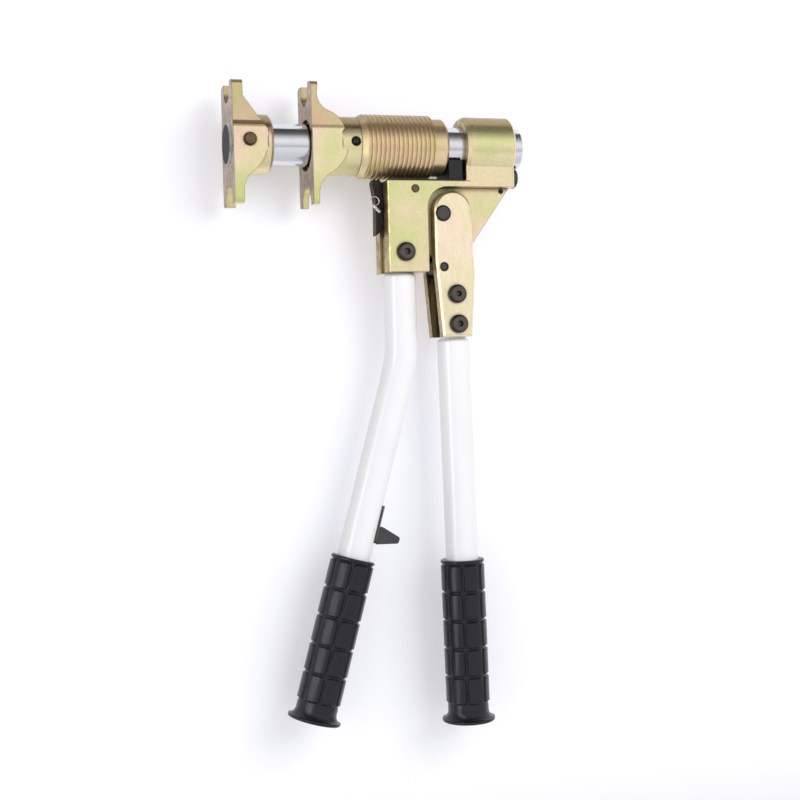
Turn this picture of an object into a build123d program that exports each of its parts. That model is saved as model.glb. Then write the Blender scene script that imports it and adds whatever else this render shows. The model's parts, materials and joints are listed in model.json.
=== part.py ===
from build123d import *
import os
from math import cos, radians, sin

# Manual press tool for sliding pipe sleeves, in millimetres.
# The origin is the centre of the guide rod's front end face. +X runs along the rod,
# from the fixed yoke to the housing, +Z is up, and -Y is the side with the screw heads.

# Clearances shared by the pieces that fit together
running_fit = 0.08
seat_gap = 0.05
side_gap = 0.3

# Guide rod
rod_radius = 16.0
rod_length = 230.0
rod_chamfer = 1.5

# Yokes: sizes common to both
boss_half = 21.5
prong_half = 20.0
upper_seat_radius = 10.3
lower_seat_radius = 12.8
prong_tip_radius = 4.0

# Fixed yoke
fixed_yoke_x = 1.5
fixed_prong = 8.0
fixed_reach = 45.0
fixed_foot_setback = 0.7
fixed_hollow = (-36.0, (14.0, -22.5))
fixed_belly_z = 4.0
fixed_gusset_bend = 1.5
fixed_upper_floor = 30.3
fixed_lower_floor = 30.5
fixed_boss_reach = 25.8
fixed_gusset_foot = 33.0
fixed_gusset_head = 9.0
fixed_shoulder = (12.0, 15.0)
fixed_collar_radius = 22.2
fixed_collar_end = 30.5
fixed_collar_chamfer = 2.2
yoke_pin_radius = 4.65
yoke_pin_x = 13.8
yoke_pin_z = 1.2
yoke_pin_stand = 3.0
yoke_pin_crown = 1.2

# Moving yoke with its hub
moving_yoke_x = 60.4
moving_prong = 5.5
moving_reach = 45.5
moving_foot_setback = 0.8
moving_lower_hollow = (-38.0, (13.6, -22.7))
moving_upper_hollow = (36.0, (13.6, 23.4))
moving_boss_inset = (2.5, 2.9)
moving_upper_floor = 29.5
moving_lower_floor = 31.3
moving_upper_horn = (25.6, 10.5)
moving_lower_horn = (27.0, -6.3)
moving_boss_reach = 23.2
moving_shoulder = (8.3, 13.3)
hub_radius = 22.0
hub_bore_radius = 19.0
hub_end = 98.5

# Detent ball in the hub's wall
ball_radius = 2.6
ball_place = (93.9, 1.2)
ball_centre_radius = 20.3
ball_hole_radius = 2.7
ball_mouth_radius = 4.0
ball_mouth_depth = 1.6

# Ratchet sleeve
nose_recess = 3.0
shoulder_gap = 0.3
rib_start_x = 102.8
rib_radius = 24.3
rib_valley_radius = 1.2
rib_valley_rise = 0.4
rib_pitch = 3.5
rib_count = 15
rear_collar_radius = 21.8
rear_collar_length = 12.4
rear_collar_chamfer = 2.0

# Press body: block, web and housing
body_half = 18.0
body_left = 118.5
body_bottom = -95.6
deck_z = -27.0
block_right = 149.8
corner_chamfer = 1.0
ledge_z = -31.3
recess_radius = 16.0
web_half = 8.7
web_arc_radius = 36.5
gusset_head_inset = 1.9
gusset_foot = (181.1, -83.9)
housing_x = 182.0
housing_end = 221.0
arch_radius = 23.8
housing_chamfer = 1.8
housing_front_chamfer = 3.0
housing_front_taper = 30.0
housing_fillet = 2.4
slot_half = 4.75
slot_floor = -66.0
slot_right = 178.0
mouth_half = 5.6
mouth_floor = -68.0
mouth_right = 126.0
groove_depth = 1.8
roll_pin_radius = 1.9
roll_pin_inset = 8.5
roll_pin_z = -33.6
roll_pin_recess = 0.8

# Buffer: a strip on the deck and an end block under the rod that the sleeve rests on
strip_start = 121.0
strip_half = 17.0
strip_thickness = 1.3
buffer_start = 168.6
buffer_half = 15.0

# Lock screw under the rod's rear end
lock_screw_z = -22.5
lock_head_radius = 8.0
lock_head_height = 7.6
lock_head_dome = 3.2
lock_shank_radius = 4.0
lock_shank_wall = 15.0
lock_socket_radius = 2.9
lock_socket_depth = 3.5

# Lever: places are (X, Z)
pivot = (169.9, -49.2)
crank = (161.8, -51.6)
lever_half = 18.0
cheek_thickness = 9.0
head_radius = 14.6
trunnion_radius = 13.0
trunnion_end = 5.2
cheek_waist_z = -86.0
cheek_right_knee = (186.8, -98.0)
cheek_foot_z = -145.2
cheek_foot_left = 160.0
cheek_foot_right = 183.5
cheek_bend_radius = 70.0
cheek_bevel = 1.6

# Crank pin, stop pin and bush
crank_radius = 4.0
crank_head_radius = 6.0
crank_head_height = 1.1
crank_head_bevel = 0.4
stop_place = (161.7, -92.1)
stop_pin_radius = 3.4
stop_pin_recess = 0.4
stop_bush_radius = 6.2

# Domed handle screws
screw_radius = 4.0
screw_head_radius = 7.0
screw_head_height = 4.2
screw_dome = 2.6
screw_socket_radius = 2.6
screw_socket_depth = 2.4
lever_screw_places = ((171.4, -112.7), (172.1, -135.5))
fixed_screw_z = -80.5

# Drive pawl: the length runs from the crank pin to the tip
pawl_half = 4.5
drive_length = 31.0
drive_lean = 29.8
drive_shank = 22.0
drive_hub_radius = 6.5
drive_root_half = 3.5
drive_tip_half = 1.6

# Hold pawl with its release tab
hold_pivot = (140.2, -33.1)
hold_pin_radius = 3.0
hold_hub_radius = 5.0
hold_tooth_top = -24.7
hold_beam_top = -27.6
hold_tooth_left = 110.9
hold_tooth_pitch = 3.5
hold_tooth_rise = 0.6
hold_tooth_land = 1.2
hold_tooth_root = 0.5
hold_valley_rise = 1.0
tab_left = 112.8
tab_neck_z = -35.6
tab_neck_step = (1.0, 8.0)
tab_shoulder_step = (8.0, 4.0)
tab_shoulder = (119.0, -44.0)
tab_heel = (118.6, -62.7)
tab_toe = (112.4, -67.8)

# Release spring
spring_wire = 0.45
spring_loop = (111.6, -41.5)
spring_loop_radius = 3.5
spring_side = 5.1
spring_pitch = 0.8
spring_turns = 3
spring_lean = 45.0
spring_leg_drop = (1.5, -3.1)
spring_leg = 10.0
spring_leg_radius = 0.35

# Handle tubes
tube_radius = 12.5
tube_wall = 2.0
swage_radius = 10.0
swage_length = 2.5
fixed_tube_x = 131.5
fixed_tube_top = -70.0
fixed_corner_z = -160.7
fixed_bend_radius = 90.0
fixed_tilt = -15.85
moving_foot = (173.5, -145.9)
moving_tilt = 0.98
moving_insert = 41.5

# Grips
grip_length = 125.8
fixed_grip_start = 156.1
moving_grip_start = 171.2
grip_base_radius = 15.5
grip_pad_radius = 16.75
grip_rim = 3.0
grip_rows = 5
grip_columns = 7
grip_phase = 3.0
grip_row_pitch = 21.7
grip_groove = 1.9
grip_pad_corner = 1.8
grip_flange = 6.4
grip_flange_radius = 20.4
grip_flange_edge = 2.6
grip_floor = 3.0
grip_rim_bevel = 0.6
grip_rim_slope = 0.4
grip_band_slope = 1.0
grip_lip_bevel = 1.0

# Handle stop on the fixed handle
stop_start = 112.5
stop_length = 27.0
saddle_thickness = 1.8
saddle_spread = 66.0
bumper_half = 7.0
bumper_corner = 2.0
bumper_root = (98.0, -296.0)
bumper_top = ((104.0, -287.2), (111.0, -288.2))
bumper_tip = ((124.4, -297.0), (122.8, -301.5))
bumper_heel = (104.5, -301.0)

# Places worked out from the sizes above
roll_pin_place = (housing_end - roll_pin_inset, roll_pin_z)
lock_shank_length = housing_end - housing_x - lock_shank_wall
nose_radius = hub_bore_radius - running_fit
nose_x = moving_yoke_x + nose_recess
rib_end_x = rib_start_x + rib_pitch * rib_count
sleeve_end = rib_end_x + rear_collar_length
cheek_inner = lever_half - cheek_thickness
swage_shoulder_z = body_bottom - swage_length
fixed_run = fixed_grip_start + grip_length - grip_floor - seat_gap
moving_run = moving_grip_start + grip_length - grip_floor - seat_gap


def save(piece, name):
    """Label a finished piece and write its STEP file."""
    piece.part.label = name
    export_step(piece.part, f"parts/{name}.step")


def across(x):
    """Plane across the rod at x: local x is Y, local y is Z."""
    return Plane.YZ.offset(x)


def side(depth):
    """Side view plane, depth in front of the middle: local x is X, local y is Z."""
    return Plane.XZ.offset(depth)


def side_at(x, z=0):
    """Side view plane in the middle of the tool with its origin at (x, z)."""
    return Plane(origin=(x, 0, z), x_dir=(1, 0, 0), z_dir=(0, -1, 0))


def handle_plane(x, z, tilt):
    """Plane across a handle at (x, z): +z runs down the handle, +x to the housing side."""
    turn = radians(tilt)
    return Plane(origin=(x, 0, z), x_dir=(cos(turn), 0, sin(turn)), z_dir=(sin(turn), 0, -cos(turn)))


def fork_profile(reach, floors, shoulder):
    """End view of a yoke: wide below the shoulder, an open pipe seat at each end."""
    with BuildSketch() as fork:
        with BuildLine():
            Polyline(
                (-boss_half, -reach),
                (boss_half, -reach),
                (boss_half, shoulder[0]),
                (prong_half, shoulder[1]),
                (prong_half, reach),
                (-prong_half, reach),
                (-prong_half, shoulder[1]),
                (-boss_half, shoulder[0]),
                close=True,
            )
        make_face()
        corners = fork.vertices().filter_by(lambda corner: abs(corner.Y) > reach - 0.1)
        fillet(corners, radius=prong_tip_radius)
        for seat_radius, floor, way in (
            (upper_seat_radius, floors[0], 1),
            (lower_seat_radius, floors[1], -1),
        ):
            with Locations((0, way * (floor + seat_radius))):
                Circle(seat_radius, mode=Mode.SUBTRACT)
            with Locations((0, way * (floor + seat_radius + reach / 2))):
                Rectangle(2 * seat_radius, reach, mode=Mode.SUBTRACT)
    return fork.sketch


def fixed_yoke_outline():
    """Side view of the fixed yoke: a straight gusset above, an ogee below."""
    foot_x = fixed_prong - fixed_foot_setback
    with BuildSketch() as outline:
        with BuildLine():
            foot = Polyline((0, -fixed_reach), (foot_x, -fixed_reach), (foot_x, fixed_hollow[0]))
            hollow = TangentArc(foot @ 1, fixed_hollow[1], tangent=(0, 1))
            belly = TangentArc(hollow @ 1, (fixed_boss_reach, fixed_belly_z), tangent=hollow % 1)
            gusset = FilletPolyline(
                belly @ 1,
                (fixed_boss_reach, fixed_gusset_head),
                (fixed_prong, fixed_gusset_foot),
                (fixed_prong, fixed_reach),
                radius=fixed_gusset_bend,
            )
            Polyline(gusset @ 1, (0, fixed_reach), foot @ 0)
        make_face()
    return outline.sketch


def moving_yoke_outline():
    """Side view of the moving yoke: an ogee above and below, with horns past the boss."""
    prong = moving_prong - moving_foot_setback
    with BuildSketch() as outline:
        with BuildLine():
            foot = Polyline((0, -moving_reach), (prong, -moving_reach), (prong, moving_lower_hollow[0]))
            hollow = TangentArc(foot @ 1, moving_lower_hollow[1], tangent=(0, 1))
            belly = TangentArc(hollow @ 1, moving_lower_horn, tangent=hollow % 1)
            head = Polyline((0, moving_reach), (moving_prong, moving_reach), (prong, moving_upper_hollow[0]))
            upper_hollow = TangentArc(head @ 1, moving_upper_hollow[1], tangent=(0, -1))
            upper_belly = TangentArc(upper_hollow @ 1, moving_upper_horn, tangent=upper_hollow % 1)
            Polyline(
                upper_belly @ 1,
                (moving_boss_reach, moving_upper_horn[1] - moving_boss_inset[0]),
                (moving_boss_reach, moving_lower_horn[1] + moving_boss_inset[1]),
                belly @ 1,
            )
            Line(head @ 0, foot @ 0)
        make_face()
    return outline.sketch


def domed_screw(plane, reach, head_radius, head_height, dome, shank_radius, socket_radius, socket_depth):
    """Screw with its head on the plane: domed head, hexagon socket and a plain shank."""
    with BuildPart() as screw:
        with BuildSketch(plane):
            Circle(head_radius)
        extrude(amount=head_height)
        crown = screw.faces().sort_by(Axis(plane.origin, plane.z_dir))[-1].edges()
        fillet(crown, radius=dome)
        with BuildSketch(plane.offset(head_height)):
            RegularPolygon(socket_radius, 6)
        extrude(amount=-socket_depth, mode=Mode.SUBTRACT)
        with BuildSketch(plane):
            Circle(shank_radius)
        extrude(amount=-reach)
    return screw.part


def side_screw(x, z, face, reach):
    """Domed handle screw that enters at (x, z) from the front face."""
    return domed_screw(
        side_at(x, z).offset(face),
        reach,
        screw_head_radius,
        screw_head_height,
        screw_dome,
        screw_radius,
        screw_socket_radius,
        screw_socket_depth,
    )


os.makedirs("parts", exist_ok=True)

# Guide rod with its cross hole and a notch for the lock screw's head
with BuildPart() as guide_rod:
    with BuildSketch(across(0)):
        Circle(rod_radius)
    extrude(amount=rod_length)
    chamfer(guide_rod.edges().filter_by(GeomType.CIRCLE), length=rod_chamfer)
    with BuildSketch(side(0)):
        with Locations((yoke_pin_x, yoke_pin_z)):
            Circle(yoke_pin_radius + seat_gap)
    extrude(amount=rod_radius, both=True, mode=Mode.SUBTRACT)
    with BuildSketch(across(housing_end)):
        with Locations((0, lock_screw_z)):
            Circle(lock_head_radius + side_gap)
    extrude(amount=rod_length - housing_end, mode=Mode.SUBTRACT)
save(guide_rod, "guide_rod")

# Fixed yoke: forked plate, boss and round collar
with BuildPart() as fixed_yoke:
    with BuildSketch(side_at(fixed_yoke_x)):
        add(fixed_yoke_outline())
    extrude(amount=boss_half, both=True)
    with BuildSketch(across(fixed_yoke_x)):
        add(fork_profile(fixed_reach, (fixed_upper_floor, fixed_lower_floor), fixed_shoulder))
    extrude(amount=fixed_collar_end, mode=Mode.INTERSECT)
    with BuildSketch(across(fixed_yoke_x)):
        Circle(fixed_collar_radius)
        Rectangle(2 * boss_half, 2 * fixed_reach, mode=Mode.INTERSECT)
    extrude(amount=fixed_boss_reach)
    with BuildSketch(across(fixed_yoke_x + fixed_boss_reach)):
        Circle(fixed_collar_radius)
    extrude(amount=fixed_collar_end - fixed_boss_reach)
    chamfer(fixed_yoke.faces().sort_by(Axis.X)[-1].edges(), length=fixed_collar_chamfer)
    with BuildSketch(across(fixed_yoke_x)):
        Circle(rod_radius + seat_gap)
    extrude(amount=fixed_collar_end, mode=Mode.SUBTRACT)
    with BuildSketch(side(0)):
        with Locations((yoke_pin_x, yoke_pin_z)):
            Circle(yoke_pin_radius + seat_gap)
    extrude(amount=2 * boss_half, both=True, mode=Mode.SUBTRACT)
save(fixed_yoke, "fixed_yoke")

# Cross pin that locks the fixed yoke to the rod
with BuildPart() as fixed_yoke_pin:
    with BuildSketch(side(boss_half + yoke_pin_stand)):
        with Locations((yoke_pin_x, yoke_pin_z)):
            Circle(yoke_pin_radius)
    extrude(amount=-2 * boss_half - yoke_pin_stand)
    fillet(fixed_yoke_pin.edges().filter_by(GeomType.CIRCLE).sort_by(Axis.Y)[0], radius=yoke_pin_crown)
save(fixed_yoke_pin, "fixed_yoke_pin")

# Moving yoke: forked plate and the hub that turns on the sleeve's nose
with BuildPart() as moving_yoke:
    with BuildSketch(side_at(moving_yoke_x)):
        add(moving_yoke_outline())
    extrude(amount=boss_half, both=True)
    with BuildSketch(across(moving_yoke_x)):
        add(fork_profile(moving_reach, (moving_upper_floor, moving_lower_floor), moving_shoulder))
    extrude(amount=hub_end - moving_yoke_x, mode=Mode.INTERSECT)
    with BuildSketch(across(moving_yoke_x)):
        Circle(hub_radius)
        Rectangle(2 * boss_half, 2 * moving_reach, mode=Mode.INTERSECT)
    extrude(amount=moving_boss_reach)
    with BuildSketch(across(moving_yoke_x + moving_boss_reach)):
        Circle(hub_radius)
    extrude(amount=hub_end - moving_yoke_x - moving_boss_reach)
    with BuildSketch(across(moving_yoke_x)):
        Circle(hub_bore_radius)
    extrude(amount=hub_end - moving_yoke_x, mode=Mode.SUBTRACT)
    with BuildSketch(side(hub_bore_radius / 2)):
        with Locations(ball_place):
            Circle(ball_hole_radius)
    extrude(amount=hub_radius, mode=Mode.SUBTRACT)
    with Locations(Location((ball_place[0], -hub_radius + ball_mouth_depth / 2, ball_place[1]), (90, 0, 0))):
        Cone(ball_hole_radius, ball_mouth_radius, ball_mouth_depth, mode=Mode.SUBTRACT)
save(moving_yoke, "moving_yoke")

with BuildPart() as detent_ball:
    with Locations((ball_place[0], -ball_centre_radius, ball_place[1])):
        Sphere(ball_radius)
save(detent_ball, "detent_ball")

# Ratchet sleeve: nose with a ball track, shoulder cone, round ribs and rear collar
with BuildPart() as ratchet_sleeve:
    with BuildSketch(side(0)):
        with BuildLine():
            Polyline(
                (nose_x, rod_radius + running_fit),
                (nose_x, nose_radius),
                (hub_end + shoulder_gap, nose_radius),
                (hub_end + shoulder_gap, hub_radius),
                (rib_start_x, rib_radius),
                (rib_end_x, rib_radius),
                (rib_end_x, rear_collar_radius),
                (sleeve_end - rear_collar_chamfer, rear_collar_radius),
                (sleeve_end, rear_collar_radius - rear_collar_chamfer),
                (sleeve_end, rod_radius + running_fit),
                close=True,
            )
        make_face()
        with Locations(((rib_start_x + rib_end_x) / 2 + rib_pitch / 10, rib_radius - rib_valley_rise)):
            with GridLocations(rib_pitch, rib_pitch, rib_count, 1):
                Circle(rib_valley_radius, mode=Mode.SUBTRACT)
    revolve(axis=Axis.X)
    with BuildSketch(side(0)):
        with Locations((ball_place[0], ball_centre_radius)):
            Circle(ball_radius + running_fit)
    revolve(axis=Axis.X, mode=Mode.SUBTRACT)
save(ratchet_sleeve, "ratchet_sleeve")

# Press body, one forging: handle block, pawl web and rod housing
with BuildPart() as press_body:
    with BuildSketch(side(0)):
        with BuildLine():
            block = Polyline(
                (body_left, body_bottom), (block_right, body_bottom), (block_right, ledge_z - recess_radius)
            )
            recess = RadiusArc(block @ 1, (block_right + recess_radius, ledge_z), recess_radius)
            Polyline(
                recess @ 1,
                (housing_end, ledge_z),
                (housing_end, deck_z),
                (body_left, deck_z),
                block @ 0,
            )
        make_face()
    extrude(amount=body_half, both=True)
    with BuildSketch(side(0)):
        with Locations(pivot):
            Circle(web_arc_radius)
        with Locations((block_right, pivot[1])):
            Rectangle(housing_end - block_right, deck_z - pivot[1], align=(Align.MIN, Align.MIN))
        with BuildLine():
            Polyline(
                (block_right, deck_z),
                (housing_end, deck_z),
                (housing_end, ledge_z),
                (housing_end - gusset_head_inset, ledge_z),
                gusset_foot,
                (gusset_foot[0], body_bottom),
                (block_right, body_bottom),
                close=True,
            )
        make_face(mode=Mode.INTERSECT)
    extrude(amount=web_half, both=True)
    with BuildSketch(across(housing_x + housing_front_chamfer)) as arch:
        Circle(arch_radius)
        with Locations((0, ledge_z)):
            Rectangle(2 * body_half, -ledge_z, align=(Align.CENTER, Align.MIN))
            Rectangle(
                2 * arch_radius, 4 * arch_radius, align=(Align.CENTER, Align.MIN), mode=Mode.INTERSECT
            )
    extrude(amount=housing_end - housing_x - housing_front_chamfer)
    extrude(arch.sketch, amount=-housing_front_chamfer, taper=housing_front_taper)
    deck_corner = press_body.edges().filter_by(Axis.Y).filter_by(
        lambda edge: abs(edge.center().X - housing_x) + abs(edge.center().Z - deck_z) < 0.1
    )
    fillet(deck_corner, radius=housing_fillet)
    rear_rim = press_body.faces().sort_by(Axis.X)[-1].edges().filter_by(
        lambda edge: edge.center().Z > ledge_z + 1
    )
    chamfer(rear_rim, length=housing_chamfer)
    block_corners = press_body.edges().filter_by(Axis.Z).filter_by(
        lambda edge: edge.center().X < body_left + 0.1
    )
    chamfer(block_corners, length=corner_chamfer)
    with BuildSketch(across(housing_x)):
        Circle(rod_radius + seat_gap)
    extrude(amount=housing_end - housing_x, mode=Mode.SUBTRACT)
    with BuildSketch(Plane.XY.offset(slot_floor)):
        with Locations((body_left, 0)):
            Rectangle(slot_right - body_left, 2 * slot_half, align=(Align.MIN, Align.CENTER))
    extrude(amount=deck_z - slot_floor, mode=Mode.SUBTRACT)
    with BuildSketch(Plane.XY.offset(mouth_floor)):
        with Locations((body_left, 0)):
            Rectangle(mouth_right - body_left, 2 * mouth_half, align=(Align.MIN, Align.CENTER))
    extrude(amount=deck_z - mouth_floor, mode=Mode.SUBTRACT)
    with BuildSketch(Plane.XY.offset(body_bottom)):
        with Locations((body_left, 0)):
            Rectangle(groove_depth, 2 * mouth_half, align=(Align.MIN, Align.CENTER))
    extrude(amount=mouth_floor - body_bottom, mode=Mode.SUBTRACT)
    with BuildSketch(side(0)):
        with Locations(pivot):
            Circle(trunnion_radius + running_fit)
    extrude(amount=web_half, both=True, mode=Mode.SUBTRACT)
    with BuildSketch(Plane.XY.offset(body_bottom)):
        with Locations((fixed_tube_x, 0)):
            Circle(swage_radius + seat_gap)
    extrude(amount=fixed_tube_top + seat_gap - body_bottom, mode=Mode.SUBTRACT)
    with BuildSketch(side(0)):
        with Locations(hold_pivot):
            Circle(hold_pin_radius + seat_gap)
        with Locations((fixed_tube_x, fixed_screw_z)):
            Circle(screw_radius + seat_gap)
        with Locations(roll_pin_place):
            Circle(roll_pin_radius + seat_gap)
    extrude(amount=body_half, both=True, mode=Mode.SUBTRACT)
    with BuildSketch(across(housing_end)):
        with Locations((0, lock_screw_z)):
            Circle(lock_shank_radius + seat_gap)
    extrude(amount=-lock_shank_length - seat_gap, mode=Mode.SUBTRACT)
save(press_body, "press_body")

# Buffer moulding: slotted strip on the deck, end block hollowed for the rod
with BuildPart() as sleeve_buffer:
    strip_end = housing_x - housing_fillet - side_gap
    with BuildSketch(Plane.XY.offset(deck_z)):
        with Locations((strip_start, 0)):
            Rectangle(strip_end - strip_start, 2 * strip_half, align=(Align.MIN, Align.CENTER))
            Rectangle(
                buffer_start - strip_start,
                2 * (slot_half + side_gap),
                align=(Align.MIN, Align.CENTER),
                mode=Mode.SUBTRACT,
            )
    extrude(amount=strip_thickness)
    with BuildSketch(Plane.XY.offset(deck_z)):
        with Locations((buffer_start, 0)):
            Rectangle(strip_end - buffer_start, 2 * buffer_half, align=(Align.MIN, Align.CENTER))
    extrude(amount=rod_radius)
    with BuildSketch(across(buffer_start)):
        Circle(rod_radius + side_gap)
    extrude(amount=strip_end - buffer_start, mode=Mode.SUBTRACT)
save(sleeve_buffer, "sleeve_buffer")

# Lock screw under the rod's rear end
with BuildPart() as rod_lock_screw:
    add(
        domed_screw(
            Plane(origin=(housing_end, 0, lock_screw_z), x_dir=(0, 1, 0), z_dir=(1, 0, 0)),
            lock_shank_length,
            lock_head_radius,
            lock_head_height,
            lock_head_dome,
            lock_shank_radius,
            lock_socket_radius,
            lock_socket_depth,
        )
    )
save(rod_lock_screw, "rod_lock_screw")

# Roll pin through the web under the housing
with BuildPart() as housing_roll_pin:
    with BuildSketch(side(0)):
        with Locations(roll_pin_place):
            Circle(roll_pin_radius)
            Circle(roll_pin_radius / 2, mode=Mode.SUBTRACT)
    extrude(amount=web_half - roll_pin_recess, both=True)
save(housing_roll_pin, "housing_roll_pin")

# Lever cheek, front side: round head, bevelled shank and a trunnion that turns in the web
with BuildPart() as lever_cheek_front:
    with BuildSketch(side(cheek_inner)):
        with BuildLine():
            head = CenterArc(pivot, head_radius, 0, 180)
            FilletPolyline(
                head @ 1,
                ((head @ 1).X, cheek_waist_z),
                (cheek_foot_left, cheek_foot_z),
                radius=cheek_bend_radius,
            )
            Line((cheek_foot_left, cheek_foot_z), (cheek_foot_right, cheek_foot_z))
            FilletPolyline(
                (cheek_foot_right, cheek_foot_z), cheek_right_knee, head @ 0, radius=cheek_bend_radius
            )
        make_face()
    extrude(amount=cheek_thickness)
    outer_rim = lever_cheek_front.faces().sort_by(Axis.Y)[0].edges()
    chamfer(outer_rim, length=cheek_bevel)
    with BuildSketch(side(trunnion_end)):
        with Locations(pivot):
            Circle(trunnion_radius)
    extrude(amount=cheek_inner - trunnion_end)
    with BuildSketch(side(0)):
        with Locations(crank):
            Circle(crank_radius + seat_gap)
        with Locations(stop_place):
            Circle(stop_pin_radius + seat_gap)
        with Locations(*lever_screw_places):
            Circle(screw_radius + seat_gap)
    extrude(amount=lever_half, mode=Mode.SUBTRACT)
    with BuildSketch(handle_plane(*moving_foot, moving_tilt)):
        Circle(swage_radius + seat_gap)
    extrude(amount=-moving_insert - seat_gap, mode=Mode.SUBTRACT)
save(lever_cheek_front, "lever_cheek_front")

# Lever cheek, rear side: the mirror image
with BuildPart() as lever_cheek_rear:
    mirror(lever_cheek_front.part, about=Plane.XZ)
save(lever_cheek_rear, "lever_cheek_rear")

# Crank pin that drives the pawl, with a flat head on each side
with BuildPart() as crank_pin:
    with BuildSketch(side(0)):
        with Locations(crank):
            Circle(crank_radius)
    extrude(amount=lever_half, both=True)
    for start in (lever_half, -lever_half - crank_head_height):
        with BuildSketch(side(start)):
            with Locations(crank):
                Circle(crank_head_radius)
        extrude(amount=crank_head_height)
    end_faces = crank_pin.faces().filter_by(Plane.XZ)
    chamfer(end_faces.sort_by(Axis.Y)[0].edges(), length=crank_head_bevel)
    chamfer(crank_pin.faces().sort_by(Axis.Y)[-1].edges(), length=crank_head_bevel)
save(crank_pin, "crank_pin")

# Stop pin and the bush between the cheeks
with BuildPart() as lever_stop_pin:
    with BuildSketch(side(0)):
        with Locations(stop_place):
            Circle(stop_pin_radius)
    extrude(amount=lever_half - stop_pin_recess, both=True)
save(lever_stop_pin, "lever_stop_pin")

with BuildPart() as lever_stop_bush:
    with BuildSketch(side(0)):
        with Locations(stop_place):
            Circle(stop_bush_radius)
            Circle(stop_pin_radius + seat_gap, mode=Mode.SUBTRACT)
    extrude(amount=cheek_inner - seat_gap, both=True)
save(lever_stop_bush, "lever_stop_bush")

# Two screws that hold the moving handle between the cheeks
with BuildPart() as lever_screws:
    for place in lever_screw_places:
        add(side_screw(*place, lever_half, 2 * lever_half))
save(lever_screws, "lever_screws")

with BuildPart() as fixed_handle_screw:
    add(side_screw(fixed_tube_x, fixed_screw_z, body_half, 2 * body_half))
save(fixed_handle_screw, "fixed_handle_screw")

# Drive pawl: hub on the crank pin, tapered strut and a chisel tip under the ribs
with BuildPart() as drive_pawl:
    lean = radians(drive_lean)
    with BuildSketch(Plane((crank[0], 0, crank[1]), x_dir=(-sin(lean), 0, cos(lean)), z_dir=(0, -1, 0))):
        with BuildLine():
            Polyline(
                (0, drive_root_half),
                (drive_shank, drive_root_half),
                (drive_length, drive_tip_half / 2),
                (drive_length, -drive_tip_half / 2),
                (drive_shank, -drive_root_half),
                (0, -drive_root_half),
                close=True,
            )
        make_face()
        Circle(drive_hub_radius)
        Circle(crank_radius + running_fit, mode=Mode.SUBTRACT)
    extrude(amount=pawl_half, both=True)
save(drive_pawl, "drive_pawl")

# Hold pawl: two teeth under the ribs, beam to the pivot and a thumb tab outside the body
with BuildPart() as hold_pawl:
    with BuildSketch(side(0)):
        with BuildLine():
            first_tip = hold_tooth_left + hold_tooth_rise
            second_tip = first_tip + hold_tooth_pitch
            Polyline(
                (hold_tooth_left - hold_tooth_root, hold_beam_top),
                (first_tip, hold_tooth_top),
                (first_tip + hold_tooth_land, hold_tooth_top),
                (second_tip - hold_valley_rise, hold_beam_top + hold_valley_rise),
                (second_tip, hold_tooth_top),
                (second_tip + hold_tooth_land, hold_tooth_top),
                (hold_tooth_left + 2 * hold_tooth_pitch, hold_beam_top),
                (hold_pivot[0], hold_pivot[1] + hold_hub_radius),
                (hold_pivot[0], hold_pivot[1] - hold_hub_radius),
                (tab_shoulder[0] + tab_shoulder_step[0], tab_shoulder[1] + tab_shoulder_step[1]),
                tab_shoulder,
                tab_heel,
                tab_toe,
                (tab_left, tab_neck_z - tab_neck_step[1]),
                (tab_left - tab_neck_step[0], tab_neck_z),
                close=True,
            )
        make_face()
        with Locations(hold_pivot):
            Circle(hold_hub_radius)
            Circle(hold_pin_radius + running_fit, mode=Mode.SUBTRACT)
    extrude(amount=pawl_half, both=True)
save(hold_pawl, "hold_pawl")

with BuildPart() as hold_pawl_pin:
    with BuildSketch(side(0)):
        with Locations(hold_pivot):
            Circle(hold_pin_radius)
    extrude(amount=body_half - seat_gap, both=True)
save(hold_pawl_pin, "hold_pawl_pin")

# Release spring: close coil turns beside the pawl's neck and a leg into the slot
with BuildPart() as release_spring:
    with BuildSketch(Plane.XY.offset(spring_loop[1])):
        with Locations((spring_loop[0] + spring_loop_radius, -spring_side - spring_pitch)):
            with GridLocations(spring_pitch, spring_pitch, 1, spring_turns):
                Circle(spring_wire)
    revolve(axis=Axis((spring_loop[0], 0, spring_loop[1]), (0, 1, 0)))
    lean = radians(spring_lean)
    leg_start = (
        spring_loop[0] + spring_leg_drop[0],
        -spring_side,
        spring_loop[1] + spring_leg_drop[1],
    )
    with BuildSketch(Plane(leg_start, z_dir=(cos(lean), 0, -sin(lean)))):
        Circle(spring_leg_radius)
    extrude(amount=spring_leg)
save(release_spring, "release_spring")


def fixed_path():
    """Axis of the fixed handle below the body: one bend towards the front of the tool."""
    corner = Vector(fixed_tube_x, 0, fixed_corner_z)
    run = handle_plane(fixed_tube_x, fixed_corner_z, fixed_tilt).z_dir * fixed_run
    with BuildLine() as path:
        FilletPolyline((fixed_tube_x, 0, swage_shoulder_z), corner, corner + run, radius=fixed_bend_radius)
    return path.line


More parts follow.
